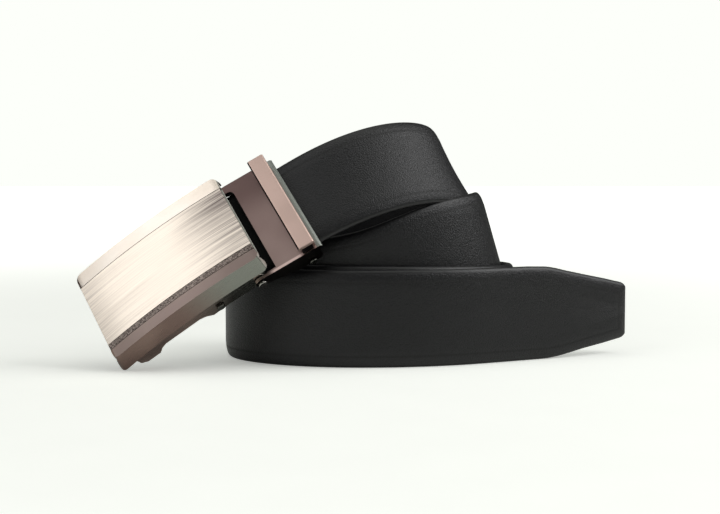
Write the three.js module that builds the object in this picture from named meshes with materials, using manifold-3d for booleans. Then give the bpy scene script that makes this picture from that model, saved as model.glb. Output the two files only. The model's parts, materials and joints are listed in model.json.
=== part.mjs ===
// Ratchet belt, rolled up on its edge with the buckle leaning on one corner.
// Millimetres, +Z up. The strap stands on its lower edge; the origin is under the middle of the whole belt.
import * as THREE from 'three';
import { mergeVertices } from 'three/addons/utils/BufferGeometryUtils.js';
import Module from 'manifold-3d';

const wasm = await Module();
wasm.setup();

// Clearance between neighbouring pieces
const GAP = 0.3;

// Leather strap
const STRAP_WIDTH = 35;
const STRAP_THICKNESS = 3.3;
const MARGIN_WIDTH = 4.2; // sloping border beside the padded middle
const MARGIN_DROP = 0.8; // how far the border falls towards the edge
const EDGE_ROUND = 0.6; // rounding of the painted edges
const STRAP_STEP = 5.6; // spacing of the cross-sections

// Coil: half sizes to the middle of the leather, measured at the first turn
const COIL_HALF_WIDTH = 51;
const COIL_HALF_DEPTH = 38.4;
const LAYER_GAP = 0.65; // air between turns that lie against each other
const COIL_LIFT = 53; // how far the innermost turn is pulled up out of the coil

// Free end of the strap
const TAIL_BEND_RADIUS = 98;
const TAIL_BEND_ANGLE = 28; // degrees that the tail turns away from the front
const TAIL_STRAIGHT = 63; // straight length beyond the bend
const TAIL_TAPER = 36; // length over which the tip narrows

// Toothed track let into the back of the tail
const TRACK_WIDTH = 8;
const TRACK_THICKNESS = 1.3;
const TRACK_LENGTH = 216;
const TRACK_FROM_TIP = 48;
const TOOTH_PITCH = 6;
const TOOTH_HEIGHT = 0.8;

// Face plate: a bowed shell with flared walls
const FACE_LENGTH = 63.2;
const FACE_PAST_STRAP = 0.8; // how much wider than the strap the face is, on each side
const FACE_BOW_RADIUS = 185;
const FACE_CORNER = 2.4;
const WALL_HEIGHT = 6.8;
const WALL_FLARE = 2.5; // how far each long wall leans out at its foot
const FREE_END_REACH = 0.5; // how much farther the face runs from its crown at the free end
const FREE_END_FLARE = 3.5;
const CLIP_END_FLARE = 0.45;
const SHELL_WALL = 1.2;
const SHELL_TOP = 2.4;
const BEVEL_DROP = 0.55;
const UPPER_BEVEL = 5.3;
const LOWER_BEVEL = 3.5;
const INLAY_THICKNESS = 0.9;
const INLAY_END = 0.4; // rim of the face left beyond the inlays
const STRIP_WIDTH = 2.2; // grained strip along the lower side

// Frame inside the face plate
const FRAME_WALL = 1;
const FRAME_DEPTH = 18.6; // from the crown of the face to the feet
const FRAME_LENGTH_FREE = 28.5; // from the middle to the free end
const FRAME_BEVEL = 1; // small bevel at the frame's corners
const FREE_FOOT = 5.6; // length of the foot at the free end
const PAWL_FOOT = 7.5; // length of the foot under the pawl pin
const FOOT_PAST_PIN = 3; // how far that foot reaches past the pin
const ARCH_RUN = 4.4; // length of each slope from a foot up to the arch
const ARCH_RISE = 3.4; // height of the arch between the feet
const BRIDGE_FREE_END = 8; // middle of the face to the bridge at the free end
const BRIDGE_CLIP_FROM = 12;
const BRIDGE_CLIP_TO = 19;
const HINGE_EAR_RADIUS = 2.7;

// Clip, hinged to the frame
const HINGE_ALONG = 24.5; // hinge pin, from the middle of the face
const HINGE_BELOW = 16.8; // hinge pin, below the crown of the face
const CLIP_TILT = 11.1; // degrees that the clip slopes away from the face
const CLIP_SHEET = 1.2;
const CLIP_LENGTH = 24.9; // hinge pin to mouth
const CLIP_ABOVE_PIN = 2.35;
const PLATE_START = 0.6; // edge of the plate beside the hinge pin
const LIP_ROUND = 0.8; // rounding on top of the mouth's lip
const LIP_BEVEL = 0.3; // small bevel under the lip
const FLANGE_DEPTH = 6; // below the hinge pin's axis
const FLANGE_STEP = 1.2; // how much shallower the flange is beside the hinge
const FLANGE_STEP_FROM = 10;
const FLANGE_STEP_TO = 13;
const FLANGE_SETBACK = 1.2; // how far the flange stays behind the mouth
const SLOT_START = 3.2;
const SLOT_END = 7;
const SLOT_UPPER_ARM = 3;
const SLOT_LOWER_ARM = 1.5;

// Keeper bar over the clip's mouth
const KEEPER_WIDTH = 6.4;
const KEEPER_SHEET = 1.8;
const KEEPER_HEIGHT = 6.2; // top of the bar above the clip plate
const KEEPER_FROM_MOUTH = 1.9;
const KEEPER_OVERHANG = 0.2; // bar's ends beyond the clip's sides
const KEEPER_EDGE = 0.5; // bevel along the bar's edges
const KEEPER_LEG = 1.4;
const KEEPER_LEG_INSET = 1; // how much narrower than the bar a leg is, on each edge
const KEEPER_LEG_SIDE = 0.2; // leg's outer face, in from the clip's side

// Pins
const HINGE_PIN_RADIUS = 1.1;
const PAWL_PIN_RADIUS = 1;
const FLAP_PIN_RADIUS = 0.9;
const PIN_HEAD = 0.6; // how much wider a pin's head is than the pin
const PIN_HEAD_LENGTH = 0.8;

// Pawl lever and clamping flap
const PAWL_PIN_ALONG = 7.5;
const PAWL_PIN_BELOW = 15.4;
const PAWL_TIP_BELOW = 8;
const PAWL_HUB_RADIUS = 2.3;
const PAWL_TIP_BACK = 2.6; // tip of the tooth, behind the pin
const PAWL_TOOTH_WIDTH = 2.8;
const PAWL_TOOTH_SLOPE = 1.6;
const LEVER_LENGTH = 27;
const LEVER_SHEET = 1.4;
const LEVER_ABOVE_PIN = 1.8; // upper face of the lever
const LEVER_HOOK = 4; // length of the turned-down end
const LEVER_HOOK_DROP = 2.2;
const FLAP_PIN_FROM_MOUTH = 5.4;
const FLAP_LENGTH = 11;
const FLAP_SHEET = 1.2;
const FLAP_HUB_WALL = 0.6;
const FLAP_TEETH = 4;
const FLAP_TOOTH_HEIGHT = 0.7;
const FLAP_NOSE = 2; // smooth part beside the pin, and the run of the first slope

// How the buckle leans: its long axis climbs to the clip, its face leans back
const BUCKLE_HEADING = -6.7;
const BUCKLE_CLIMB = 35.3;
const BUCKLE_LEAN = 25;
const BUCKLE_LEFT = 69.7; // crown of the face, left of the coil's middle
const BUCKLE_FRONT = 6.6; // crown of the face, in front of the coil's front

// Lead from the innermost turn into the clip
const LEAD_START_PULL = 9;
const LEAD_END_PULL = 42;

const rad = THREE.MathUtils.degToRad;
const layerPitch = STRAP_THICKNESS + LAYER_GAP;
const halfThickness = STRAP_THICKNESS / 2;
const coilMiddleY = COIL_HALF_DEPTH + halfThickness;

// One row for each quarter turn of the coil, counted from the middle of the front, going left.
// side and depth are shares of the coil's half width and half depth, lift is a share of COIL_LIFT,
// and lean is how many degrees the strap's top edge leans inwards.
const TURNS = [
  { turn: -1, side: 1.0, depth: 1.0, lift: 0, lean: 0 },
  { turn: 0, side: 1.03, depth: 1.0, lift: 0, lean: 0 },
  { turn: 1, side: 1.0, depth: 1.0, lift: 0, lean: 0 },
  { turn: 2, side: 1.08, depth: 1.02, lift: 0, lean: 0 },
  { turn: 3, side: 1.195, depth: 1.0, lift: 0, lean: 0 },
  { turn: 4, side: 1.04, depth: 1.0, lift: 0.025, lean: 0 },
  { turn: 5, side: 1.0, depth: 1.0, lift: 0.05, lean: 0 },
  { turn: 6, side: 1.04, depth: 1.02, lift: 0.25, lean: 1 },
  { turn: 7, side: 1.105, depth: 1.0, lift: 0.53, lean: 16 },
  { turn: 7.5, side: 1.05, depth: 1.0, lift: 0.463, lean: 8 },
  { turn: 8, side: 1.0, depth: 1.0, lift: 0.25, lean: 0 },
  { turn: 9, side: 1.0, depth: 1.0, lift: 0.14, lean: 0 },
  { turn: 10, side: 0.95, depth: 1.02, lift: 0.6, lean: 4 },
  { turn: 11, side: 0.893, depth: 1.0, lift: 0.99, lean: 31 },
  { turn: 12, side: 0.85, depth: 1.0, lift: 1.5, lean: 31 },
];
const LAST_TURN = 11;

// Outline of the strap's tip: distance from the tip and half width, as shares of the taper and half width
const TIP_ROWS = [
  { from: 0, half: 0.49 },
  { from: 0.02, half: 0.57 },
  { from: 0.06, half: 0.61 },
  { from: 0.3, half: 0.73 },
  { from: 0.6, half: 0.87 },
  { from: 0.82, half: 0.96 },
  { from: 1, half: 1 },
];

function smoothColumn(rows, key, at, column) {
  let i = 0;
  while (i < rows.length - 2 && at > rows[i + 1][key]) i += 1;
  const row = (k) => rows[Math.min(Math.max(k, 0), rows.length - 1)];
  const rise = (k) => {
    const run = row(k + 1)[key] - row(k)[key];
    return run > 0 ? (row(k + 1)[column] - row(k)[column]) / run : 0;
  };
  // A flat or turning row gets no slope, so the column never overshoots its rows
  const slope = (k) => {
    const before = rise(Math.max(k - 1, 0));
    const after = rise(Math.min(k, rows.length - 2));
    if (before * after <= 0) return 0;
    const steepest = 3 * Math.min(Math.abs(before), Math.abs(after));
    return Math.sign(after) * Math.min(Math.abs(before + after) / 2, steepest);
  };
  const span = rows[i + 1][key] - rows[i][key];
  const t = (at - rows[i][key]) / span;
  const t2 = t * t;
  const t3 = t2 * t;
  return (2 * t3 - 3 * t2 + 1) * rows[i][column] + (t3 - 2 * t2 + t) * span * slope(i)
    + (3 * t2 - 2 * t3) * rows[i + 1][column] + (t3 - t2) * span * slope(i + 1);
}

// Axes of a strap or buckle that runs along a direction and leans about it:
// along, across (towards the upper edge) and out (away from the coil or face).
function leaningAxes(along, lean, inwardSign) {
  const out = new THREE.Vector3(along.y, -along.x, 0).normalize().multiplyScalar(inwardSign);
  const up = new THREE.Vector3(0, 0, 1).addScaledVector(along, -along.z).normalize();
  const across = up.clone().multiplyScalar(Math.cos(lean)).addScaledVector(out, -Math.sin(lean));
  const face = up.clone().multiplyScalar(Math.sin(lean)).addScaledVector(out, Math.cos(lean));
  return { along: along.clone(), across, face };
}

function leanOf(along, across) {
  const inward = new THREE.Vector3(-along.y, along.x, 0).normalize();
  return Math.asin(across.dot(inward));
}

function coilPoint(turn) {
  const angle = turn * Math.PI / 2;
  const inset = layerPitch * turn / 4;
  const side = COIL_HALF_WIDTH * smoothColumn(TURNS, 'turn', turn, 'side') - inset;
  const depth = COIL_HALF_DEPTH * smoothColumn(TURNS, 'turn', turn, 'depth') - inset;
  const lift = COIL_LIFT * smoothColumn(TURNS, 'turn', turn, 'lift');
  return new THREE.Vector3(
    -side * Math.sin(angle), coilMiddleY - depth * Math.cos(angle), STRAP_WIDTH / 2 + lift);
}

function tailPoint(fromCoil) {
  const bendLength = TAIL_BEND_RADIUS * rad(TAIL_BEND_ANGLE);
  const bent = Math.min(fromCoil, bendLength);
  const angle = bent / TAIL_BEND_RADIUS;
  const straight = fromCoil - bent;
  return new THREE.Vector3(
    TAIL_BEND_RADIUS * Math.sin(angle) + straight * Math.cos(angle),
    halfThickness + TAIL_BEND_RADIUS * (1 - Math.cos(angle)) + straight * Math.sin(angle),
    STRAP_WIDTH / 2);
}

// A closed solid through a row of sections that all have the same number of points
function loft(sections, capOutline) {
  const count = sections[0].length;
  const positions = sections.flat().flatMap((p) => [p.x, p.y, p.z]);
  const index = [];
  for (let i = 0; i < sections.length - 1; i += 1) {
    for (let j = 0; j < count; j += 1) {
      const a = i * count + j;
      const b = i * count + (j + 1) % count;
      index.push(a, b, b + count, a, b + count, a + count);
    }
  }
  const last = (sections.length - 1) * count;
  for (const [a, b, c] of THREE.ShapeUtils.triangulateShape(capOutline, [])) {
    index.push(c, b, a, last + a, last + b, last + c);
  }
  const geometry = new THREE.BufferGeometry();
  geometry.setAttribute('position', new THREE.Float32BufferAttribute(positions, 3));
  geometry.setIndex(index);
  return facingOut(geometry);
}

function signedVolume(geometry) {
  const p = geometry.getAttribute('position');
  const index = geometry.getIndex().array;
  const [a, b, c] = [new THREE.Vector3(), new THREE.Vector3(), new THREE.Vector3()];
  let volume = 0;
  for (let i = 0; i < index.length; i += 3) {
    a.fromBufferAttribute(p, index[i]);
    b.fromBufferAttribute(p, index[i + 1]);
    c.fromBufferAttribute(p, index[i + 2]);
    volume += a.dot(b.cross(c)) / 6;
  }
  return volume;
}

function facingOut(geometry) {
  if (signedVolume(geometry) < 0) {
    const index = geometry.getIndex();
    for (let i = 0; i < index.count; i += 3) {
      const first = index.getX(i);
      index.setX(i, index.getX(i + 1));
      index.setX(i + 1, first);
    }
  }
  return geometry;
}

function toSolid(geometry) {
  const bare = geometry.clone();
  bare.deleteAttribute('normal');
  bare.deleteAttribute('uv');
  const merged = facingOut(mergeVertices(bare, 1e-4));
  return new wasm.Manifold(new wasm.Mesh({
    numProp: 3,
    vertProperties: merged.getAttribute('position').array,
    triVerts: Uint32Array.from(merged.getIndex().array),
  }));
}

function toGeometry(solid) {
  const mesh = solid.getMesh();
  const geometry = new THREE.BufferGeometry();
  geometry.setAttribute('position', new THREE.Float32BufferAttribute(mesh.vertProperties, 3));
  geometry.setIndex(Array.from(mesh.triVerts));
  return geometry;
}

function join(...geometries) {
  return toGeometry(geometries.map(toSolid).reduce((a, b) => a.add(b)));
}

function cut(geometry, ...tools) {
  return toGeometry(tools.map(toSolid).reduce((a, b) => a.subtract(b), toSolid(geometry)));
}

// A side profile, drawn as along and height, spread across the buckle from one side to the other
function sideways(shape, acrossFrom, acrossTo, curveSegments = 6) {
  const geometry = new THREE.ExtrudeGeometry(shape, {
    depth: acrossTo - acrossFrom, bevelEnabled: false, curveSegments });
  geometry.rotateX(Math.PI / 2);
  geometry.translate(0, acrossTo, 0);
  return geometry;
}

function block(alongFrom, alongTo, acrossFrom, acrossTo, heightFrom, heightTo) {
  const box = new THREE.BoxGeometry(alongTo - alongFrom, acrossTo - acrossFrom, heightTo - heightFrom);
  box.translate((alongFrom + alongTo) / 2, (acrossFrom + acrossTo) / 2, (heightFrom + heightTo) / 2);
  return box;
}

function polygon(points) {
  return new THREE.Shape(points.map(([x, y]) => new THREE.Vector2(x, y)));
}

function roundHole(x, y, radius) {
  return new THREE.Path().absarc(x, y, radius, 0, Math.PI * 2, true);
}

function rectangle(half, from, to) {
  return [[-half, from], [half, from], [half, to], [-half, to]].map(([x, y]) => new THREE.Vector2(x, y));
}

// A pin across the buckle with a flat head at each end
function pin(radius, reach) {
  const head = radius + PIN_HEAD;
  const inner = reach - PIN_HEAD_LENGTH;
  const profile = [[0, -reach], [head, -reach], [head, -inner], [radius, -inner],
    [radius, inner], [head, inner], [head, reach], [0, reach]];
  return new THREE.LatheGeometry(profile.map(([x, y]) => new THREE.Vector2(x, y)), 16);
}

// The bow of the face: points drawn on a flat plate are wrapped onto an arc
function bowed(x, y, z) {
  const angle = x / FACE_BOW_RADIUS;
  const radius = FACE_BOW_RADIUS + z;
  return new THREE.Vector3(radius * Math.sin(angle), y, radius * Math.cos(angle) - FACE_BOW_RADIUS);
}

// A bowed slab through levels; each level has its height, its two ends and its two sides
function bowedSlab(levels, corner = 0) {
  const stations = [];
  const cornerSteps = corner > 0 ? 4 : 0;
  for (let i = 0; i < cornerSteps; i += 1) {
    const angle = (i / cornerSteps) * Math.PI / 2;
    stations.push({ share: 0, inset: corner * (1 - Math.sin(angle)), in: corner * (1 - Math.cos(angle)) });
  }
  const straightSteps = 10;
  for (let i = 0; i <= straightSteps; i += 1) {
    stations.push({ share: i / straightSteps, inset: 0, in: corner * (1 - 2 * i / straightSteps) });
  }
  for (let i = cornerSteps - 1; i >= 0; i -= 1) {
    const angle = (i / cornerSteps) * Math.PI / 2;
    stations.push({ share: 1, inset: corner * (1 - Math.sin(angle)), in: -corner * (1 - Math.cos(angle)) });
  }
  const count = stations.length;
  const positions = [];
  for (const level of levels) {
    const along = (s) => level.from + (level.to - level.from) * s.share + s.in;
    for (const s of stations) {
      positions.push(...bowed(along(s), level.upper - s.inset, level.height).toArray());
    }
    for (const s of stations) {
      positions.push(...bowed(along(s), level.lower + s.inset, level.height).toArray());
    }
  }
  const index = [];
  const quad = (a, b, c, d) => index.push(a, b, c, a, c, d);
  const ring = 2 * count;
  for (let k = 0; k < levels.length - 1; k += 1) {
    const base = k * ring;
    for (let i = 0; i < count - 1; i += 1) {
      quad(base + i, base + i + 1, base + ring + i + 1, base + ring + i);
      quad(base + count + i + 1, base + count + i, base + ring + count + i, base + ring + count + i + 1);
    }
    quad(base + count, base, base + ring, base + ring + count);
    quad(base + count - 1, base + ring - 1, base + 2 * ring - 1, base + ring + count - 1);
  }
  const top = (levels.length - 1) * ring;
  for (let i = 0; i < count - 1; i += 1) {
    quad(i + 1, i, count + i, count + i + 1);
    quad(top + i, top + i + 1, top + count + i + 1, top + count + i);
  }
  const geometry = new THREE.BufferGeometry();
  geometry.setAttribute('position', new THREE.Float32BufferAttribute(positions, 3));
  geometry.setIndex(index);
  return facingOut(geometry);
}

function material(color, roughness, metalness) {
  return new THREE.MeshStandardMaterial({ color, roughness, metalness });
}

const leather = material('#1d1e21', 0.55, 0);
const trackPlastic = material('#16171a', 0.5, 0);
const brushedNickel = material('#cfc4bb', 0.35, 1);
const satinNickel = material('#8a7d79', 0.3, 1);
const darkNickel = material('#6b5f5c', 0.2, 1);
const grainedNickel = material('#5f5a58', 0.6, 1);
const roseNickel = material('#c9aea6', 0.35, 1);
const steel = material('#9b9a98', 0.3, 1);

function piece(name, geometry, look) {
  const mesh = new THREE.Mesh(geometry, look);
  mesh.name = name;
  return mesh;
}

const halfFaceLength = FACE_LENGTH / 2;
const halfFaceWidth = STRAP_WIDTH / 2 + FACE_PAST_STRAP;
const wallFoot = -(BEVEL_DROP + WALL_HEIGHT);
const panelUpper = halfFaceWidth - UPPER_BEVEL;
const panelLower = -(halfFaceWidth - LOWER_BEVEL);
const stripUpper = panelLower + STRIP_WIDTH;
const inlayEnd = halfFaceLength - INLAY_END;
const faceStart = -halfFaceLength - FREE_END_REACH;
const inlayStart = -inlayEnd - FREE_END_REACH;

// The frame leaves the strap's width open and reaches up until it nears the shell's flared walls
const frameInner = STRAP_WIDTH / 2 + GAP;
const frameOuter = frameInner + FRAME_WALL;
const frameTop = -BEVEL_DROP - WALL_HEIGHT * (frameOuter + GAP - halfFaceWidth + SHELL_WALL) / WALL_FLARE;
const bridgeTop = -PAWL_TIP_BELOW - 2 * GAP;
const passageTop = -PAWL_TIP_BELOW + STRAP_THICKNESS;
const bowHeight = (x) => Math.sqrt((FACE_BOW_RADIUS + frameTop) ** 2 - x * x) - FACE_BOW_RADIUS;

function facePlate() {
  const outer = bowedSlab([
    { height: wallFoot, from: faceStart - FREE_END_FLARE, to: halfFaceLength + CLIP_END_FLARE,
      upper: halfFaceWidth + WALL_FLARE, lower: -halfFaceWidth - WALL_FLARE },
    { height: -BEVEL_DROP, from: faceStart, to: halfFaceLength,
      upper: halfFaceWidth, lower: -halfFaceWidth },
    { height: 0, from: inlayStart, to: inlayEnd, upper: panelUpper, lower: panelLower },
  ], FACE_CORNER);
  // The hollow follows the walls and runs on past their feet; share is 0 at the face and 1 at the feet
  const hollowEnd = halfFaceLength - SHELL_WALL;
  const hollowSide = halfFaceWidth - SHELL_WALL;
  const level = (height) => {
    const share = (-height - BEVEL_DROP) / WALL_HEIGHT;
    return {
      height,
      from: -hollowEnd - FREE_END_REACH - FREE_END_FLARE * share,
      to: hollowEnd + CLIP_END_FLARE * share,
      upper: hollowSide + WALL_FLARE * share,
      lower: -hollowSide - WALL_FLARE * share,
    };
  };
  const hollow = bowedSlab([level(wallFoot - SHELL_WALL), level(-SHELL_TOP)],
    Math.max(FACE_CORNER - SHELL_WALL, 0));
  const bedLevel = (height) => (
    { height, from: -FACE_LENGTH, to: FACE_LENGTH, upper: panelUpper, lower: panelLower });
  const bed = bowedSlab([bedLevel(-INLAY_THICKNESS - GAP), bedLevel(SHELL_TOP)]);
  const passage = block(-FACE_LENGTH, FACE_LENGTH, -frameInner, frameInner, -FRAME_DEPTH, passageTop);
  return cut(outer, hollow, bed, passage);
}

function inlay(upper, lower) {
  return bowedSlab([
    { height: -INLAY_THICKNESS, from: inlayStart, to: inlayEnd, upper, lower },
    { height: 0, from: inlayStart, to: inlayEnd, upper, lower },
  ]);
}

function frameSide(acrossFrom, acrossTo) {
  const free = -FRAME_LENGTH_FREE;
  const feet = -FRAME_DEPTH;
  const archTop = feet + ARCH_RISE;
  const freeFootEnd = free + 2 * FRAME_BEVEL + FREE_FOOT;
  const pawlFootEnd = PAWL_PIN_ALONG + FOOT_PAST_PIN;
  const pawlFootStart = pawlFootEnd - PAWL_FOOT;
  const shape = polygon([
    [free, bowHeight(free) - FRAME_BEVEL], [free, feet + 2 * FRAME_BEVEL], [free + 2 * FRAME_BEVEL, feet],
    [freeFootEnd, feet], [freeFootEnd + ARCH_RUN / 2, archTop - FRAME_BEVEL],
    [freeFootEnd + ARCH_RUN, archTop], [pawlFootStart - ARCH_RUN, archTop],
    [pawlFootStart - ARCH_RUN / 2, archTop - FRAME_BEVEL], [pawlFootStart, feet], [pawlFootEnd, feet],
    [HINGE_ALONG - 2 * HINGE_EAR_RADIUS, -HINGE_BELOW - HINGE_EAR_RADIUS]]);
  shape.absarc(HINGE_ALONG, -HINGE_BELOW, HINGE_EAR_RADIUS, -Math.PI / 2, Math.PI / 6, false);
  const topSteps = 5;
  const topFrom = HINGE_ALONG - FRAME_BEVEL;
  for (let i = 0; i < topSteps; i += 1) {
    const x = THREE.MathUtils.lerp(topFrom, free, i / topSteps);
    shape.lineTo(x, bowHeight(x));
  }
  shape.closePath();
  shape.holes.push(roundHole(HINGE_ALONG, -HINGE_BELOW, HINGE_PIN_RADIUS + GAP));
  shape.holes.push(roundHole(PAWL_PIN_ALONG, -PAWL_PIN_BELOW, PAWL_PIN_RADIUS + GAP));
  return sideways(shape, acrossFrom, acrossTo);
}

function innerFrame() {
  const joinSide = frameInner + FRAME_WALL / 2;
  const bridge = (from, to) => block(from, to, -joinSide, joinSide, bridgeTop - FRAME_WALL, bridgeTop);
  return join(frameSide(-frameOuter, -frameInner), frameSide(frameInner, frameOuter),
    bridge(-FRAME_LENGTH_FREE + FRAME_BEVEL, -BRIDGE_FREE_END), bridge(BRIDGE_CLIP_FROM, BRIDGE_CLIP_TO));
}

function pawlLever() {
  const x = PAWL_PIN_ALONG;
  const y = -PAWL_PIN_BELOW;
  const hub = PAWL_HUB_RADIUS;
  const tipX = x - PAWL_TIP_BACK;
  const end = x - LEVER_LENGTH;
  const top = y + LEVER_ABOVE_PIN;
  const under = top - LEVER_SHEET;
  const shape = new THREE.Shape();
  shape.absarc(x, y, hub, Math.PI, Math.PI * 2, false);
  shape.lineTo(tipX, -PAWL_TIP_BELOW);
  shape.lineTo(tipX - PAWL_TOOTH_WIDTH, -PAWL_TIP_BELOW - PAWL_TOOTH_SLOPE);
  shape.lineTo(tipX - PAWL_TOOTH_WIDTH / 2, y + hub);
  shape.lineTo(end + LEVER_HOOK, top);
  shape.lineTo(end, top - LEVER_HOOK_DROP);
  shape.lineTo(end, under - LEVER_HOOK_DROP);
  shape.lineTo(end + LEVER_HOOK, under);
  shape.lineTo(x - hub - PAWL_PIN_RADIUS, under);
  shape.closePath();
  shape.holes.push(roundHole(x, y, PAWL_PIN_RADIUS + GAP));
  const reach = frameInner - GAP;
  return sideways(shape, -reach, reach);
}

// The clip's own axes: along from the hinge pin to the mouth, height above the pin
const flangeInner = frameOuter + GAP;
const halfClip = flangeInner + CLIP_SHEET;
const mouthX = CLIP_LENGTH;
const plateUnder = CLIP_ABOVE_PIN - CLIP_SHEET;
const strapTop = plateUnder - GAP;
const flapPinX = mouthX - FLAP_PIN_FROM_MOUTH;
const flapTop = strapTop - STRAP_THICKNESS - GAP;
const flapHub = FLAP_PIN_RADIUS + GAP + FLAP_HUB_WALL;
const flapPinZ = flapTop - flapHub;

function clipFlange(acrossFrom, acrossTo) {
  const shape = new THREE.Shape();
  const end = mouthX - FLANGE_SETBACK;
  shape.absarc(0, 0, CLIP_ABOVE_PIN, Math.PI / 2, -Math.PI / 2, false);
  shape.lineTo(FLANGE_STEP_FROM, -FLANGE_DEPTH + FLANGE_STEP);
  shape.lineTo(FLANGE_STEP_TO, -FLANGE_DEPTH);
  shape.lineTo(end - FLANGE_SETBACK, -FLANGE_DEPTH);
  shape.lineTo(end, -FLANGE_DEPTH + FLANGE_SETBACK);
  shape.lineTo(end, CLIP_ABOVE_PIN);
  shape.closePath();
  shape.holes.push(roundHole(0, 0, HINGE_PIN_RADIUS + GAP));
  shape.holes.push(roundHole(flapPinX, flapPinZ, FLAP_PIN_RADIUS + GAP));
  return sideways(shape, acrossFrom, acrossTo);
}

function clipPlate() {
  const sheet = polygon([[PLATE_START, plateUnder], [mouthX - LIP_BEVEL, plateUnder],
    [mouthX, plateUnder + LIP_BEVEL], [mouthX, CLIP_ABOVE_PIN - LIP_ROUND],
    [mouthX - LIP_ROUND, CLIP_ABOVE_PIN], [PLATE_START, CLIP_ABOVE_PIN]]);
  // The slot is rounded at its upper end and square where it meets the lower bend
  const slotUpper = halfClip - SLOT_UPPER_ARM;
  const slotLower = halfClip - SLOT_LOWER_ARM;
  const corner = (SLOT_END - SLOT_START) / 2;
  const slot = new THREE.Shape();
  slot.moveTo(0, -slotLower);
  slot.lineTo(SLOT_END, -slotLower);
  slot.absarc(SLOT_END - corner, slotUpper - corner, corner, 0, Math.PI / 2, false);
  slot.lineTo(0, slotUpper);
  slot.closePath();
  const slotTool = new THREE.ExtrudeGeometry(slot, {
    depth: 3 * CLIP_SHEET, bevelEnabled: false, curveSegments: 4 });
  slotTool.translate(0, 0, plateUnder - CLIP_SHEET);
  // Room for the ears of the inner frame beside the hinge pin
  const earRoom = block(0, SLOT_START, -flangeInner, flangeInner,
    plateUnder - CLIP_SHEET, plateUnder + 2 * CLIP_SHEET);
  return cut(join(sideways(sheet, -halfClip, halfClip), clipFlange(-halfClip, -flangeInner),
    clipFlange(flangeInner, halfClip)), slotTool, earRoom);
}

function keeperBar() {
  const right = mouthX - KEEPER_FROM_MOUTH;
  const left = right - KEEPER_WIDTH;
  const top = CLIP_ABOVE_PIN + KEEPER_HEIGHT;
  const under = top - KEEPER_SHEET;
  const edge = KEEPER_EDGE;
  const half = halfClip + KEEPER_OVERHANG;
  const bar = polygon([
    [left + edge, under], [right - edge, under], [right, under + edge], [right, top - edge],
    [right - edge, top], [left + edge, top], [left, top - edge], [left, under + edge]]);
  const outer = halfClip - KEEPER_LEG_SIDE;
  const leg = (from, to) => block(left + KEEPER_LEG_INSET, right - KEEPER_LEG_INSET, from, to,
    CLIP_ABOVE_PIN + GAP, top - KEEPER_SHEET / 2);
  return join(sideways(bar, -half, half), leg(-outer, -outer + KEEPER_LEG), leg(outer - KEEPER_LEG, outer));
}

function clipFlap() {
  const end = flapPinX - FLAP_LENGTH;
  const valley = flapTop - FLAP_TOOTH_HEIGHT;
  const toothStep = (FLAP_LENGTH - FLAP_NOSE) / FLAP_TEETH;
  const shape = new THREE.Shape();
  shape.absarc(flapPinX, flapPinZ, flapHub, -Math.PI / 2, Math.PI / 2, false);
  for (let i = 0; i < FLAP_TEETH; i += 1) {
    const x = flapPinX - FLAP_NOSE - i * toothStep;
    shape.lineTo(x, valley);
    shape.lineTo(x - toothStep * 2 / 3, flapTop);
  }
  shape.lineTo(end, valley);
  shape.lineTo(end, valley - FLAP_SHEET);
  shape.lineTo(flapPinX - FLAP_NOSE, flapPinZ - flapHub + FLAP_HUB_WALL);
  shape.closePath();
  shape.holes.push(roundHole(flapPinX, flapPinZ, FLAP_PIN_RADIUS + GAP));
  const reach = flangeInner - GAP;
  return sideways(shape, -reach, reach);
}

// The buckle's place: its lowest corner, the foot of the free end's lower wall, touches the floor
const buckleAlong = new THREE.Vector3(
  Math.cos(rad(BUCKLE_HEADING)) * Math.cos(rad(BUCKLE_CLIMB)),
  Math.sin(rad(BUCKLE_HEADING)) * Math.cos(rad(BUCKLE_CLIMB)),
  Math.sin(rad(BUCKLE_CLIMB)));
const buckleAxes = leaningAxes(buckleAlong, rad(BUCKLE_LEAN), 1);
const buckleTurn = new THREE.Matrix4().makeBasis(buckleAxes.along, buckleAxes.across, buckleAxes.face);
const plateGeometry = facePlate();
const turnedPlate = plateGeometry.clone().applyMatrix4(buckleTurn);
turnedPlate.computeBoundingBox();
const bucklePlace = new THREE.Vector3(-BUCKLE_LEFT, -BUCKLE_FRONT, -turnedPlate.boundingBox.min.z);
const buckleMatrix = buckleTurn.clone().setPosition(bucklePlace);
const clipMatrix = buckleMatrix.clone()
  .multiply(new THREE.Matrix4().makeTranslation(HINGE_ALONG, 0, -HINGE_BELOW))
  .multiply(new THREE.Matrix4().makeRotationY(rad(CLIP_TILT)));

// The strap's clamped end, inside the clip, close behind the hinge pin
const clampedStart = HINGE_PIN_RADIUS + 3 * GAP;
const clampedEnd = new THREE.Vector3(clampedStart, 0, strapTop - halfThickness).applyMatrix4(clipMatrix);
const clampedMouth = new THREE.Vector3(mouthX, 0, strapTop - halfThickness).applyMatrix4(clipMatrix);
const clampedAlong = clampedEnd.clone().sub(clampedMouth).normalize();
const clampedLean = leanOf(clampedAlong.clone().negate(), buckleAxes.across);

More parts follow.
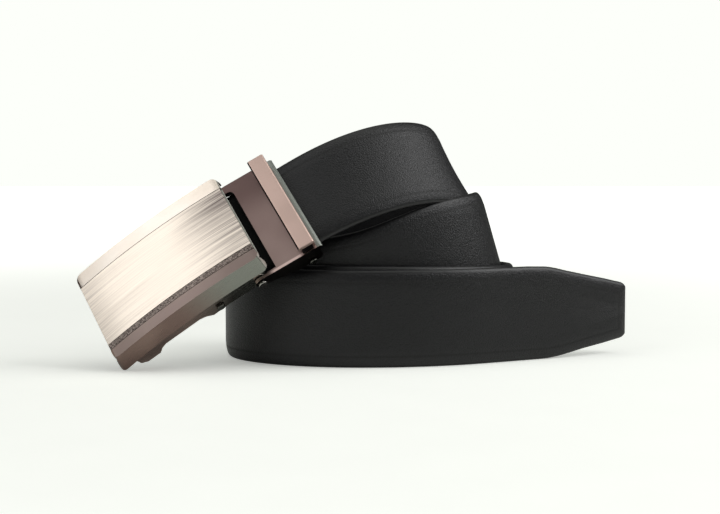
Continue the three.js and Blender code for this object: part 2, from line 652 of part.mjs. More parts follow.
// Middle line of the strap from the tip to the clamped end, with its lean at each point
function strapRoute() {
  const points = [];
  const leans = [];
  const add = (point, lean) => {
    points.push(point);
    leans.push(lean);
  };
  const fine = 2;
  const tailLength = TAIL_BEND_RADIUS * rad(TAIL_BEND_ANGLE) + TAIL_STRAIGHT;
  for (let s = tailLength; s > fine; s -= fine) add(tailPoint(s), 0);
  const turnStep = 1 / 40;
  for (let turn = 0; turn <= LAST_TURN; turn += turnStep) {
    add(coilPoint(turn), rad(smoothColumn(TURNS, 'turn', turn, 'lean')));
  }
  const leadStart = coilPoint(LAST_TURN);
  const leadWay = coilPoint(LAST_TURN + turnStep).sub(coilPoint(LAST_TURN - turnStep)).normalize();
  const lead = new THREE.CubicBezierCurve3(
    leadStart, leadStart.clone().addScaledVector(leadWay, LEAD_START_PULL),
    clampedMouth.clone().addScaledVector(clampedAlong, -LEAD_END_PULL), clampedMouth);
  const leanStart = leans[leans.length - 1];
  const leadSteps = 40;
  for (let i = 1; i <= leadSteps; i += 1) {
    const share = i / leadSteps;
    add(lead.getPoint(share), THREE.MathUtils.lerp(leanStart, clampedLean, share));
  }
  add(clampedMouth.clone().lerp(clampedEnd, 0.5), clampedLean);
  add(clampedEnd, clampedLean);
  return { points, leans };
}

const route = strapRoute();
const routeLengths = [0];
for (let i = 1; i < route.points.length; i += 1) {
  routeLengths.push(routeLengths[i - 1] + route.points[i].distanceTo(route.points[i - 1]));
}
const strapLength = routeLengths[routeLengths.length - 1];

function routeFrame(distance) {
  let i = 0;
  while (i < routeLengths.length - 2 && distance > routeLengths[i + 1]) i += 1;
  const share = (distance - routeLengths[i]) / (routeLengths[i + 1] - routeLengths[i]);
  const middle = route.points[i].clone().lerp(route.points[i + 1], share);
  const way = (k) => {
    const before = route.points[Math.max(k - 1, 0)];
    const after = route.points[Math.min(k + 1, route.points.length - 1)];
    return after.clone().sub(before).normalize();
  };
  const along = way(i).lerp(way(i + 1), share).normalize();
  const lean = THREE.MathUtils.lerp(route.leans[i], route.leans[i + 1], share);
  return { middle, ...leaningAxes(along, lean, -1) };
}

function stationPoint(frame, across, out) {
  return frame.middle.clone().addScaledVector(frame.across, across).addScaledVector(frame.face, out);
}

function evenSteps(from, to, step) {
  const count = Math.max(2, Math.round((to - from) / step));
  return Array.from({ length: count + 1 }, (_, i) => from + (to - from) * i / count);
}

const trackEnd = TRACK_FROM_TIP + TRACK_LENGTH;
const grooveFrom = TRACK_FROM_TIP - GAP;
const grooveTo = trackEnd + GAP;
const grooveHalf = TRACK_WIDTH / 2 + GAP;
const grooveDepth = TRACK_THICKNESS + GAP;
const stations = [
  ...TIP_ROWS.map((row) => row.from * TAIL_TAPER),
  ...evenSteps(TAIL_TAPER, strapLength, STRAP_STEP).slice(1)];

// Cross-section of the strap: flat back, padded face with sloping borders
function strapSection(half) {
  const back = -halfThickness;
  const front = halfThickness;
  const side = [
    new THREE.Vector2(half - EDGE_ROUND, back),
    new THREE.Vector2(half, back + EDGE_ROUND),
    new THREE.Vector2(half, front - MARGIN_DROP - EDGE_ROUND),
    new THREE.Vector2(half - EDGE_ROUND, front - MARGIN_DROP),
    new THREE.Vector2(half - MARGIN_WIDTH, front),
  ];
  const other = side.map((p) => new THREE.Vector2(-p.x, p.y)).reverse();
  return [...side, ...other];
}

function halfWidthAt(distance) {
  const share = Math.min(distance / TAIL_TAPER, 1);
  return STRAP_WIDTH / 2 * smoothColumn(TIP_ROWS, 'from', share, 'half');
}

function alongStrap(distances, sectionAt) {
  const sections = distances.map((distance) => {
    const frame = routeFrame(distance);
    return sectionAt(distance).map((p) => stationPoint(frame, p.x, p.y));
  });
  return loft(sections, sectionAt(distances[0]));
}

function strap() {
  const leather = alongStrap(stations, (distance) => strapSection(halfWidthAt(distance)));
  const inGroove = stations.filter((distance) => distance > grooveFrom && distance < grooveTo);
  const groove = alongStrap([grooveFrom, ...inGroove, grooveTo],
    () => rectangle(grooveHalf, -halfThickness - GAP, -halfThickness + grooveDepth));
  return cut(leather, groove);
}

function ratchetTrack() {
  const bed = -halfThickness + grooveDepth - GAP;
  const valley = bed - (TRACK_THICKNESS - TOOTH_HEIGHT);
  const half = TRACK_WIDTH / 2;
  // Each tooth climbs slowly, has a short flat top and falls steeply
  const toothRows = [
    { along: 0, height: 0 },
    { along: 0.75, height: TOOTH_HEIGHT },
    { along: 0.85, height: TOOTH_HEIGHT },
  ];
  const toothCount = Math.floor(TRACK_LENGTH / TOOTH_PITCH);
  const rows = [];
  for (let i = 0; i < toothCount; i += 1) {
    for (const row of toothRows) rows.push({ at: TRACK_FROM_TIP + (i + row.along) * TOOTH_PITCH, ...row });
  }
  rows.push({ at: TRACK_FROM_TIP + toothCount * TOOTH_PITCH, height: 0 });
  const heights = new Map(rows.map((row) => [row.at, row.height]));
  return alongStrap([...heights.keys()], (at) => rectangle(half, valley - heights.get(at), bed));
}

const buckle = new THREE.Group();
buckle.applyMatrix4(buckleMatrix);
buckle.add(piece('face_plate', plateGeometry, satinNickel));
buckle.add(piece('brushed_panel', inlay(panelUpper - GAP / 2, stripUpper + GAP / 4), brushedNickel));
buckle.add(piece('grained_strip', inlay(stripUpper - GAP / 4, panelLower + GAP / 2), grainedNickel));
buckle.add(piece('inner_frame', innerFrame(), darkNickel));
buckle.add(piece('pawl_lever', pawlLever(), steel));
const pawlPin = piece('pawl_pin', pin(PAWL_PIN_RADIUS, frameOuter + GAP + PIN_HEAD_LENGTH), steel);
pawlPin.position.set(PAWL_PIN_ALONG, 0, -PAWL_PIN_BELOW);
buckle.add(pawlPin);

const clip = new THREE.Group();
clip.applyMatrix4(clipMatrix);
clip.add(piece('clip_plate', clipPlate(), darkNickel));
clip.add(piece('keeper_bar', keeperBar(), roseNickel));
clip.add(piece('clip_flap', clipFlap(), steel));
clip.add(piece('hinge_pin', pin(HINGE_PIN_RADIUS, halfClip + GAP + PIN_HEAD_LENGTH), steel));
const flapPin = piece('flap_pin', pin(FLAP_PIN_RADIUS, halfClip + GAP + PIN_HEAD_LENGTH), steel);
flapPin.position.set(flapPinX, 0, flapPinZ);
clip.add(flapPin);

const belt = new THREE.Group();
belt.add(piece('strap', strap(), leather));
belt.add(piece('ratchet_track', ratchetTrack(), trackPlastic));
belt.add(buckle, clip);

// The origin lies on the floor under the middle of the belt's box
belt.updateMatrixWorld(true);
const reach = new THREE.Box3().setFromObject(belt, true);
const centre = reach.getCenter(new THREE.Vector3());
belt.position.set(-centre.x, -centre.y, -reach.min.z);
belt.updateMatrixWorld(true);

export default belt;
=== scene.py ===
# %% [markdown]
# # A ratchet belt, rolled up on its edge
# This lesson dresses a leather ratchet belt: a black strap rolled into a coil, with a metal
# buckle that leans on one corner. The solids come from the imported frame, which fixes every
# size and every place. We only add finer shapes, materials, light and a camera.

import json
import math

import bmesh
import bpy
import numpy as np
from mathutils import Matrix, Vector


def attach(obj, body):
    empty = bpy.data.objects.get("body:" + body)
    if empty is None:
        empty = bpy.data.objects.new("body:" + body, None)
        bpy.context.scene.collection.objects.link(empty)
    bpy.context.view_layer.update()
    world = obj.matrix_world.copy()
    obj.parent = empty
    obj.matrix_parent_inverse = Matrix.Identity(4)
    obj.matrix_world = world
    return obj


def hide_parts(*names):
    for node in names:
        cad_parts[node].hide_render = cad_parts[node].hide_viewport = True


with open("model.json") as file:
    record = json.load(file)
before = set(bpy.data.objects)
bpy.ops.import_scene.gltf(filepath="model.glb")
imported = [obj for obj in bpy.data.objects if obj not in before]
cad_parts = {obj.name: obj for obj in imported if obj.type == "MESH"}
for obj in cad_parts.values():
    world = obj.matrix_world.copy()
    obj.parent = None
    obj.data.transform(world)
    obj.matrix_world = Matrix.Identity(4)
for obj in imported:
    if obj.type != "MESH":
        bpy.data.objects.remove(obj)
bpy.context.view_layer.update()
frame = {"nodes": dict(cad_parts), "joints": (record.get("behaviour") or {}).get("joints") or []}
scene = bpy.context.scene
MM = 0.001
hinge = frame["joints"][0]

# %% [markdown]
# ## The buckle's own axes
# The buckle leans on one corner, so its long side, its short side and its face all point in
# odd directions. Working in the buckle's own axes keeps the numbers simple: along runs from
# the free end to the clip, across runs up the face, and out points away from the face. The
# hinge's axis in the frame is the across axis, and the heading and climb give the other two.

# %% Axes of the buckle and of the clip
BUCKLE_HEADING = math.radians(-6.7)
BUCKLE_CLIMB = math.radians(35.3)
CLIP_TILT = math.radians(11.1)
HINGE_ALONG, HINGE_BELOW = 24.5, 16.8

across = np.array(hinge["axis"], float)
along = np.array([
    math.cos(BUCKLE_HEADING) * math.cos(BUCKLE_CLIMB),
    math.sin(BUCKLE_HEADING) * math.cos(BUCKLE_CLIMB),
    math.sin(BUCKLE_CLIMB)])
out = np.cross(along, across)
hinge_at = np.array(hinge["pos_m"], float) / MM
crown = hinge_at - along * HINGE_ALONG + out * HINGE_BELOW
clip_along = along * math.cos(CLIP_TILT) - out * math.sin(CLIP_TILT)
clip_out = along * math.sin(CLIP_TILT) + out * math.cos(CLIP_TILT)
print("crown of the face at", crown.round(2), "mm")

# %% [markdown]
# ## Camera
# The photograph was taken with a longish lens from half a metre away, looking down by under
# four degrees, a little above the table. A full-size sensor is 36 mm wide, so the lens is the
# focal length that was fitted to the picture. The shift between the fitted frame and this one
# is found from the hinge pin, which both know.

# %% Camera at the photograph's viewing angle
BUCKLE_LEFT, BUCKLE_FRONT = 69.7, 6.6
SENSOR_MM, LENS_MM = 36, 67.45
CAMERA_PLACE, LOOKS_DOWN = np.array([0, -478, 70]), 3.605
shift = np.array([crown[0] + BUCKLE_LEFT, crown[1] + BUCKLE_FRONT, 0.0])
camera_data = bpy.data.cameras.new("camera")
camera_data.sensor_width = SENSOR_MM
camera_data.lens = LENS_MM
camera_data.clip_start = 0.01
camera = bpy.data.objects.new("camera", camera_data)
scene.collection.objects.link(camera)
camera.location = Vector((CAMERA_PLACE + shift) * MM)
camera.rotation_euler = (math.radians(90 - LOOKS_DOWN), 0, 0)
scene.camera = camera
print("camera at", tuple(round(c, 4) for c in camera.location))

# %% [markdown]
# ## Small helpers
# Colours are written as the hex values a paint program shows, and one function turns them
# into the linear values that the renderer needs. Another adds a node to a material, sets it
# and links it. Its inputs come by name, or as a list in the node's own order. One more makes
# sure that an operator acts on one object only, because loading the frame leaves its nodes
# selected.

# %% Helpers for colours, nodes and selection
SMOOTH, COLOURS = {"interpolation_type": "SMOOTHSTEP"}, {"data_type": "RGBA"}


def linear(hex_colour):
    """An sRGB hex colour as linear RGBA."""
    parts = [int(hex_colour[i:i + 2], 16) / 255 for i in (1, 3, 5)]
    return (*(c / 12.92 if c <= 0.04045 else ((c + 0.055) / 1.055) ** 2.4 for c in parts), 1.0)


def add(tree, kind, settings=None, inputs=None):
    """Adds a node. A socket given as an input is linked, and a number or hex colour is set."""
    made = tree.nodes.new(kind)
    for name, value in (settings or {}).items():
        setattr(made, name, value)
    for name, value in inputs.items() if isinstance(inputs, dict) else enumerate(inputs or ()):
        if isinstance(value, bpy.types.NodeSocket):
            tree.links.new(value, made.inputs[name])
        elif isinstance(value, str):
            made.inputs[name].default_value = linear(value)
        else:
            made.inputs[name].default_value = value
    return made


def new_material(name, sockets):
    """A material whose shader has these sockets set. Returns the material, its tree and shader."""
    material = bpy.data.materials.new(name)
    material.use_nodes = True
    shader = material.node_tree.nodes["Principled BSDF"]
    for socket, value in sockets.items():
        shader.inputs[socket].default_value = value
    return material, material.node_tree, shader


def select_only(piece):
    """Makes one object the selected and active one."""
    if bpy.context.object and bpy.context.object.mode != "OBJECT":
        bpy.ops.object.mode_set(mode="OBJECT")
    bpy.ops.object.select_all(action="DESELECT")
    piece.select_set(True)
    bpy.context.view_layer.objects.active = piece


def apply_modifiers(piece):
    """Applies every modifier of a piece, in order."""
    select_only(piece)
    for name in [modifier.name for modifier in piece.modifiers]:
        bpy.ops.object.modifier_apply(modifier=name)

# %% [markdown]
# ## The strap's route
# The strap is 35 mm wide and about a metre long. It is rolled up from its tip: the tail lies
# in front, three turns follow, each pulled up a little more, and the last one leads into the
# clip. The route is worked out from the same named sizes and the same short table as the
# solid, so the leather lies where the frame has it.

# %% Sizes of the strap and its coil, in mm
STRAP_WIDTH, STRAP_THICKNESS = 35, 3.3
COIL_HALF_WIDTH, COIL_HALF_DEPTH, LAYER_GAP, COIL_LIFT = 51, 38.4, 0.65, 53
TAIL_BEND_RADIUS, TAIL_BEND_ANGLE, TAIL_STRAIGHT, TAIL_TAPER = 98, math.radians(28), 63, 36
LEAD_START_PULL, LEAD_END_PULL = 9, 42
CLIP_LENGTH, STRAP_MIDDLE_IN_CLIP, CLAMPED_START = 24.9, -0.8, 2.0
TIP_EXTRA = 1.5
TRACK_FROM_TIP, TRACK_LENGTH, TRACK_HALF, GAP = 48 + TIP_EXTRA, 216, 4, 0.3

TURNS = [dict(zip(("turn", "side", "depth", "lift", "lean"), row)) for row in (
    (-1, 1.0, 1.0, 0, 0), (0, 1.03, 1.0, 0, 0), (1, 1.0, 1.0, 0, 0), (2, 1.08, 1.02, 0, 0),
    (3, 1.195, 1.0, 0, 0), (4, 1.04, 1.0, 0.025, 0), (5, 1.0, 1.0, 0.05, 0),
    (6, 1.04, 1.02, 0.25, 1), (7, 1.105, 1.0, 0.53, 16), (7.5, 1.05, 1.0, 0.463, 8),
    (8, 1.0, 1.0, 0.25, 0), (9, 1.0, 1.0, 0.14, 0), (10, 0.95, 1.02, 0.6, 4),
    (11, 0.893, 1.0, 0.99, 31), (12, 0.85, 1.0, 1.5, 31))]
LAST_TURN = 11
TIP_ROWS = [dict(zip(("at", "half"), row)) for row in (
    (0, 0.595), (0.06, 0.62), (0.3, 0.73), (0.6, 0.87), (0.82, 0.96), (1, 1))]

# %% A smooth curve through a table
def smooth_column(rows, key, at, column):
    """A smooth curve through one column of a table that never overshoots its rows."""
    i = 0
    while i < len(rows) - 2 and at > rows[i + 1][key]:
        i += 1

    def rise(k):
        return (rows[k + 1][column] - rows[k][column]) / (rows[k + 1][key] - rows[k][key])

    def slope(k):
        before, after = rise(max(k - 1, 0)), rise(min(k, len(rows) - 2))
        if before * after <= 0:
            return 0
        steepest = 3 * min(abs(before), abs(after))
        return math.copysign(min(abs(before + after) / 2, steepest), after)

    span = rows[i + 1][key] - rows[i][key]
    t = (at - rows[i][key]) / span
    return ((2 * t**3 - 3 * t**2 + 1) * rows[i][column] + (t**3 - 2 * t**2 + t) * span * slope(i)
            + (3 * t**2 - 2 * t**3) * rows[i + 1][column] + (t**3 - t**2) * span * slope(i + 1))

# %% Places along the coil and the tail
def coil_point(turn):
    """Middle of the leather, counted in quarter turns from the front."""
    angle = turn * math.pi / 2
    inset = (STRAP_THICKNESS + LAYER_GAP) * turn / 4
    side = COIL_HALF_WIDTH * smooth_column(TURNS, "turn", turn, "side") - inset
    depth = COIL_HALF_DEPTH * smooth_column(TURNS, "turn", turn, "depth") - inset
    lift = COIL_LIFT * smooth_column(TURNS, "turn", turn, "lift")
    return shift + [-side * math.sin(angle),
                    COIL_HALF_DEPTH + STRAP_THICKNESS / 2 - depth * math.cos(angle),
                    STRAP_WIDTH / 2 + lift]


def tail_point(from_coil):
    """Middle of the leather on the tail, counted from where it leaves the coil."""
    bent = min(from_coil, TAIL_BEND_RADIUS * TAIL_BEND_ANGLE)
    angle = bent / TAIL_BEND_RADIUS
    straight = from_coil - bent
    return shift + [TAIL_BEND_RADIUS * math.sin(angle) + straight * math.cos(angle),
                    STRAP_THICKNESS / 2 + TAIL_BEND_RADIUS * (1 - math.cos(angle))
                    + straight * math.sin(angle), STRAP_WIDTH / 2]


def unit(v):
    return v / np.linalg.norm(v, axis=-1, keepdims=True)

# %% Lay out the route from the tip to the clip
mouth = hinge_at + clip_along * CLIP_LENGTH + clip_out * STRAP_MIDDLE_IN_CLIP
clamped_end = hinge_at + clip_along * CLAMPED_START + clip_out * STRAP_MIDDLE_IN_CLIP
inward = unit(np.array([-clip_along[1], clip_along[0], 0]))
clamped_lean = math.asin(across @ inward)

tail_length = TAIL_BEND_RADIUS * TAIL_BEND_ANGLE + TAIL_STRAIGHT + TIP_EXTRA
TAIL_STEP, TURN_STEP, LEAD_STEPS = 2, 1 / 40, 40
points = [tail_point(s) for s in np.arange(tail_length, TAIL_STEP, -TAIL_STEP)]
leans = [0.0] * len(points)
for turn in np.arange(0, LAST_TURN + TURN_STEP / 2, TURN_STEP):
    points.append(coil_point(turn))
    leans.append(math.radians(smooth_column(TURNS, "turn", turn, "lean")))
lead_way = unit(coil_point(LAST_TURN + TURN_STEP) - coil_point(LAST_TURN - TURN_STEP))
lead = [points[-1], points[-1] + lead_way * LEAD_START_PULL, mouth + clip_along * LEAD_END_PULL, mouth]
last_lean = leans[-1]
for t in np.linspace(0, 1, LEAD_STEPS + 1)[1:]:
    pulls = ((1 - t)**3, 3 * t * (1 - t)**2, 3 * t**2 * (1 - t), t**3)
    points.append(sum(pull * place for pull, place in zip(pulls, lead)))
    leans.append(last_lean + (clamped_lean - last_lean) * t)
points += [(mouth + clamped_end) / 2, clamped_end]
leans += [clamped_lean, clamped_lean]
points, leans = np.array(points), np.array(leans)
print("the route has", len(points), "points")

# %% [markdown]
# ## Ease the route
# The route runs through a short table, so it still has faint kinks, and leather bends in no
# tighter curve than its stiffness allows. We walk along it in steps of a millimetre and smooth
# it with a bell curve that is 5 mm wide. Smoothing once would pull every bend inwards. Twice
# the smoothed line, less the line smoothed twice, puts the size back.

# %% Smooth the route with a bell curve
def travelled(places):
    """Distance along a line of points, from its start to each of them."""
    return np.concatenate([[0], np.cumsum(np.linalg.norm(np.diff(places, axis=0), axis=1))])


EASE_MM, EASE_REACH = 5, 15
coarse = travelled(points)
even = np.linspace(0, coarse[-1], round(coarse[-1]) + 1)
route = np.stack([np.interp(even, coarse, column) for column in (*points.T, leans)], axis=1)
bell = np.exp(-0.5 * (np.arange(-EASE_REACH, EASE_REACH + 1) / EASE_MM)**2)
bell /= bell.sum()


def eased(columns):
    """Columns smoothed by a bell curve. Both ends keep their place."""
    return np.stack([np.convolve(np.pad(column, EASE_REACH, mode="reflect", reflect_type="odd"),
                                 bell, "valid") for column in columns.T], axis=1)


route = 2 * eased(route) - eased(eased(route))
points, leans = route[:, :3], route[:, 3]
lengths = travelled(points)
strap_length = lengths[-1]
print("the strap is", round(strap_length, 1), "mm long")

# %% [markdown]
# ## The strap, modelled flat and then rolled up
# A real strap is cut flat, padded, edge-painted and only then bent. We do the same. A circle
# is moved onto the outline of the cross-section and extruded to the full length, the long
# edges are subdivided into rings, and the groove for the track is pushed into the back. Only
# then is every point moved onto the route. The flat coordinates stay behind as a UV map in
# millimetres, so the grain keeps its size round every bend.

# %% Outline of the cross-section
# Distance in from the edge, then height of the front and of the back over the middle layer
EDGE_ROWS = [
    (0.0, -0.42, -0.42), (0.07, -0.05, -0.85), (0.28, 0.25, -1.25), (0.65, 0.58, -1.52),
    (1.15, 0.86, -1.65), (2.1, 1.18, -1.65), (3.2, 1.41, -1.65), (4.0, 1.49, -1.65),
    (4.4, 1.49, -1.65), (4.8, 1.56, -1.65), (5.6, 1.63, -1.65), (7.0, 1.65, -1.65), (9.2, 1.65, -1.65)]
HEIGHT_AT_RIM = EDGE_ROWS[0][1]
EDGE_IN, FRONT, BACK = (np.array(column) for column in zip(*EDGE_ROWS))
FRONT_MIDDLE = (5.5, 2.6, 0.0)
GROOVE_HALF, GROOVE_DEPTH = TRACK_HALF + GAP, 1.6
half = STRAP_WIDTH / 2

front_side = [(half - inset, height) for inset, height in zip(EDGE_IN, FRONT)]
front_line = front_side + [(w, FRONT[-1]) for w in FRONT_MIDDLE]
front_line += [(-w, h) for w, h in reversed(front_line[:-1])]
back_side = [(half - inset, height) for inset, height in zip(EDGE_IN[1:5], BACK[1:5])]
back_line = back_side + [(8.0, BACK[-1]), (GROOVE_HALF, BACK[-1])]
back_line = [(-w, h) for w, h in back_line] + list(reversed(back_line))
outline = front_line + back_line
print("points round the strap:", len(outline))

# %% [markdown]
# The rings lie close together at the tip, where the edge rolls over, and one falls on each end
# of the groove. Elsewhere a ring every 1.5 mm lets the strap bend smoothly.

# %% Where the rings go along the strap
# An operator cuts an edge 100 times at most, so the rings are made in two passes
RING_STEP = 1.5
FIRST_CUTS = 7
ring_places = [0, 0.06, 0.2, 0.45, 0.8, 1.2, 1.6, 2.1, 2.7, 3.4, 4.4, 5.6, 7.0]
groove_ends = (TRACK_FROM_TIP - GAP, TRACK_FROM_TIP + TRACK_LENGTH + GAP)
for start, end in zip((ring_places[-1], *groove_ends), (*groove_ends, strap_length)):
    count = round((end - start) / RING_STEP)
    if end == strap_length:
        count += -(len(ring_places) - 1 + count) % (FIRST_CUTS + 1)
    ring_places += list(np.linspace(start, end, count + 1)[1:])
ring_places = np.array(ring_places)
print("rings along the strap:", len(ring_places))

# %% Extrude the outline and cut it into rings
bpy.ops.object.select_all(action="DESELECT")
bpy.ops.mesh.primitive_circle_add(vertices=len(outline), radius=half * MM, fill_type="NGON")
strap = bpy.context.object
strap.name = "leather_strap"
for vertex, (w, h) in zip(strap.data.vertices, outline):
    vertex.co = Vector((0, w, h)) * MM
bpy.ops.object.mode_set(mode="EDIT")
bpy.ops.mesh.select_all(action="SELECT")
bpy.ops.mesh.extrude_region_move(TRANSFORM_OT_translate={"value": (strap_length * MM, 0, 0)})
for cuts in (FIRST_CUTS, (len(ring_places) - 1) // (FIRST_CUTS + 1) - 1):
    edit = bmesh.from_edit_mesh(strap.data)
    bpy.ops.mesh.select_all(action="DESELECT")
    for edge in edit.edges:
        edge.select_set(abs(edge.verts[0].co.x - edge.verts[1].co.x) > MM)
    bmesh.update_edit_mesh(strap.data)
    bpy.ops.mesh.subdivide(number_cuts=cuts)
bpy.ops.object.mode_set(mode="OBJECT")

flat = np.array([v.co for v in strap.data.vertices]) / MM
ring = np.rint(flat[:, 0] / strap_length * (len(ring_places) - 1)).astype(int)
flat[:, 0] = ring_places[ring]
strap.data.vertices.foreach_set("co", (flat * MM).astype(np.float32).ravel())
print("strap has", len(strap.data.polygons), "faces")

# %% Push the groove for the track into the back
bpy.ops.object.mode_set(mode="EDIT")
bpy.ops.mesh.select_mode(type="FACE")
bpy.ops.mesh.select_all(action="DESELECT")
edit = bmesh.from_edit_mesh(strap.data)
for face in edit.faces:
    place = face.calc_center_median() / MM
    face.select_set(abs(place.y) < GROOVE_HALF and place.z < BACK[-1] + 0.01
                    and groove_ends[0] < place.x < groove_ends[1])
bmesh.update_edit_mesh(strap.data)
bpy.ops.mesh.extrude_region_move(TRANSFORM_OT_translate={"value": (0, 0, GROOVE_DEPTH * MM)})
bpy.ops.mesh.select_all(action="SELECT")
bpy.ops.mesh.normals_make_consistent(inside=False)
bpy.ops.object.mode_set(mode="OBJECT")

# %% Keep the flat coordinates as a UV map
SHADOW_IN_CLIP_LENGTH, PAINTED_RIM = 19, 0.9
PAINT_SLOT, LINING_SLOT, SHADOW_IN_CLIP_SLOT = 1, 2, 3
BACK_BESIDE, HEIGHT_SHARE = 60, 0.5
flat = np.array([v.co for v in strap.data.vertices]) / MM
loop_vertex = np.array([loop.vertex_index for loop in strap.data.loops])
loop_flat = flat[loop_vertex]
# The back is laid out beside the front, so the pattern runs over each edge without stretching
on_back = np.zeros(len(loop_flat), bool)
material_index = np.zeros(len(strap.data.polygons), np.int32)
for face in strap.data.polygons:
    w, h = abs(face.center.y) / MM, face.center.z / MM
    if h < HEIGHT_AT_RIM:
        on_back[list(face.loop_indices)] = True
        material_index[face.index] = LINING_SLOT
    if w > half - PAINTED_RIM:
        material_index[face.index] = PAINT_SLOT
    # The end held inside the clip gets a near-black, rough finish: painted shadow
    if face.center.x / MM > strap_length - SHADOW_IN_CLIP_LENGTH:
        material_index[face.index] = SHADOW_IN_CLIP_SLOT
v_coordinate = np.where(on_back, BACK_BESIDE - loop_flat[:, 1],
                        loop_flat[:, 1] + loop_flat[:, 2] * HEIGHT_SHARE)
uv = np.stack([loop_flat[:, 0], v_coordinate], axis=1)
layers = strap.data.uv_layers
uv_map = layers[0] if layers else layers.new(name="flat_mm")
uv_map.name = "flat_mm"
uv_map.data.foreach_set("uv", uv.astype(np.float32).ravel())
strap.data.polygons.foreach_set("material_index", material_index)

# %% [markdown]
# ## The tip, and the rolling up
# The tip narrows over 36 mm and is cut square, with small round corners. Each ring is scaled
# to the width that the strap has there. Then every point is carried onto the route, along two
# axes that lean with the leather.

# %% Shape the tip
# In the photograph the tip hangs a little: its upper and lower edges lie lower by these, in mm
TIP_DROP = [(0, 0.5, 1.2), (11, 0.55, 0.8), (20, 0.86, 0.16), (29, 0.94, 0), (36, 0.35, 0), (46, 0, 0)]
TIP_ROUND = 2.6
tip_half = []
for s in ring_places:
    straight = half * smooth_column(TIP_ROWS, "at", min(max(s - TIP_EXTRA, 0) / TAIL_TAPER, 1), "half")
    cut_in = TIP_ROUND - math.sqrt(TIP_ROUND**2 - max(TIP_ROUND - s, 0)**2)
    tip_half.append(straight - cut_in)
tip_half = np.array(tip_half)
ring = np.searchsorted(ring_places, flat[:, 0] - 1e-3)
half_here = tip_half[np.clip(ring, 0, len(ring_places) - 1)]
inset = half - np.abs(flat[:, 1])
side = np.sign(flat[:, 1])
middle_zone = half - EDGE_IN[-1]
w = np.where(inset < EDGE_IN[-1], side * (half_here - inset),
             flat[:, 1] * (half_here - EDGE_IN[-1]) / middle_zone)
drop_at, upper_drop, lower_drop = zip(*TIP_DROP)
upper_share = (1 + w / half_here) / 2
w -= (np.interp(flat[:, 0], drop_at, upper_drop) * upper_share
      + np.interp(flat[:, 0], drop_at, lower_drop) * (1 - upper_share))
from_edge = np.minimum(inset, flat[:, 0] + 0.04)
is_front = flat[:, 2] > HEIGHT_AT_RIM - 0.01
is_skin = is_front | (flat[:, 2] < BACK[-1] + 0.5)
near_tip = (flat[:, 0] < EDGE_IN[-1]) & is_skin
h = np.where(near_tip, np.where(is_front, np.interp(from_edge, EDGE_IN, FRONT),
                                np.interp(from_edge, EDGE_IN, BACK)), flat[:, 2])

# %% Carry flat places onto the route
def leaning_axes(way, lean):
    """Across and outward directions of a strap that runs one way and leans about it."""
    outward = -unit(np.stack([way[:, 1], -way[:, 0], np.zeros(len(way))], axis=1))
    up = unit(np.array([0, 0, 1.0]) - way * way[:, 2:3])
    c, s = np.cos(lean)[:, None], np.sin(lean)[:, None]
    return up * c - outward * s, up * s + outward * c


def roll(s, w, h):
    """Flat strap coordinates to places on the rolled-up strap, in mm."""
    i = np.clip(np.searchsorted(lengths, s, side="right") - 1, 0, len(lengths) - 2)
    share = ((s - lengths[i]) / (lengths[i + 1] - lengths[i]))[:, None]
    middle = points[i] * (1 - share) + points[i + 1] * share
    each, last = np.arange(len(points)), len(points) - 1
    ways = unit(points[np.minimum(each + 1, last)] - points[np.maximum(each - 1, 0)])
    way = unit(ways[i] * (1 - share) + ways[i + 1] * share)
    lean = leans[i] * (1 - share[:, 0]) + leans[i + 1] * share[:, 0]
    up, outward = leaning_axes(way, lean)
    return middle + up * w[:, None] + outward * h[:, None]

# %% Roll the strap up
LEATHER_SMOOTH = math.radians(50)
rolled = roll(flat[:, 0], w, h)
strap.data.vertices.foreach_set("co", (rolled * MM).astype(np.float32).ravel())
strap.data.update()
select_only(strap)
bpy.ops.object.mode_set(mode="EDIT")
bpy.ops.mesh.select_all(action="SELECT")
bpy.ops.mesh.normals_make_consistent(inside=False)
bpy.ops.object.mode_set(mode="OBJECT")
bpy.ops.object.shade_smooth_by_angle(angle=LEATHER_SMOOTH)
print("rolled strap from", rolled.min(0).round(2), "to", rolled.max(0).round(2), "mm")

# %% [markdown]
# ## Leather
# The strap is full-grain cowhide, dyed black, pressed with a fine pebble grain and finished in
# satin. The eye sees a nearly black skin whose grain shows only where light grazes it. Pebbles
# are about 0.6 mm across. Two layers make them: Voronoi cells for the pebbles and a fine noise
# for the pores between them. A faint crease runs 4 mm inside every edge, and shade is painted
# into it as a darker, duller line. The edges carry smooth black paint, the back is plain lining,
# and the end that the clip holds is painted near black and rough, as painted shadow in the clip.

# %% Black pebbled cowhide
PEBBLE_MM, PORE_MM, PATCH_MM = 0.62, 0.24, 22
# The crease line is painted darker, as painted shade in the crease, and made duller
CREASE_IN, CREASE_HALF, CREASE_SHADE, CREASE_DULLER = 4.3, 0.8, 0.6, 0.15
FRONT_MIDDLE_V = 0.5


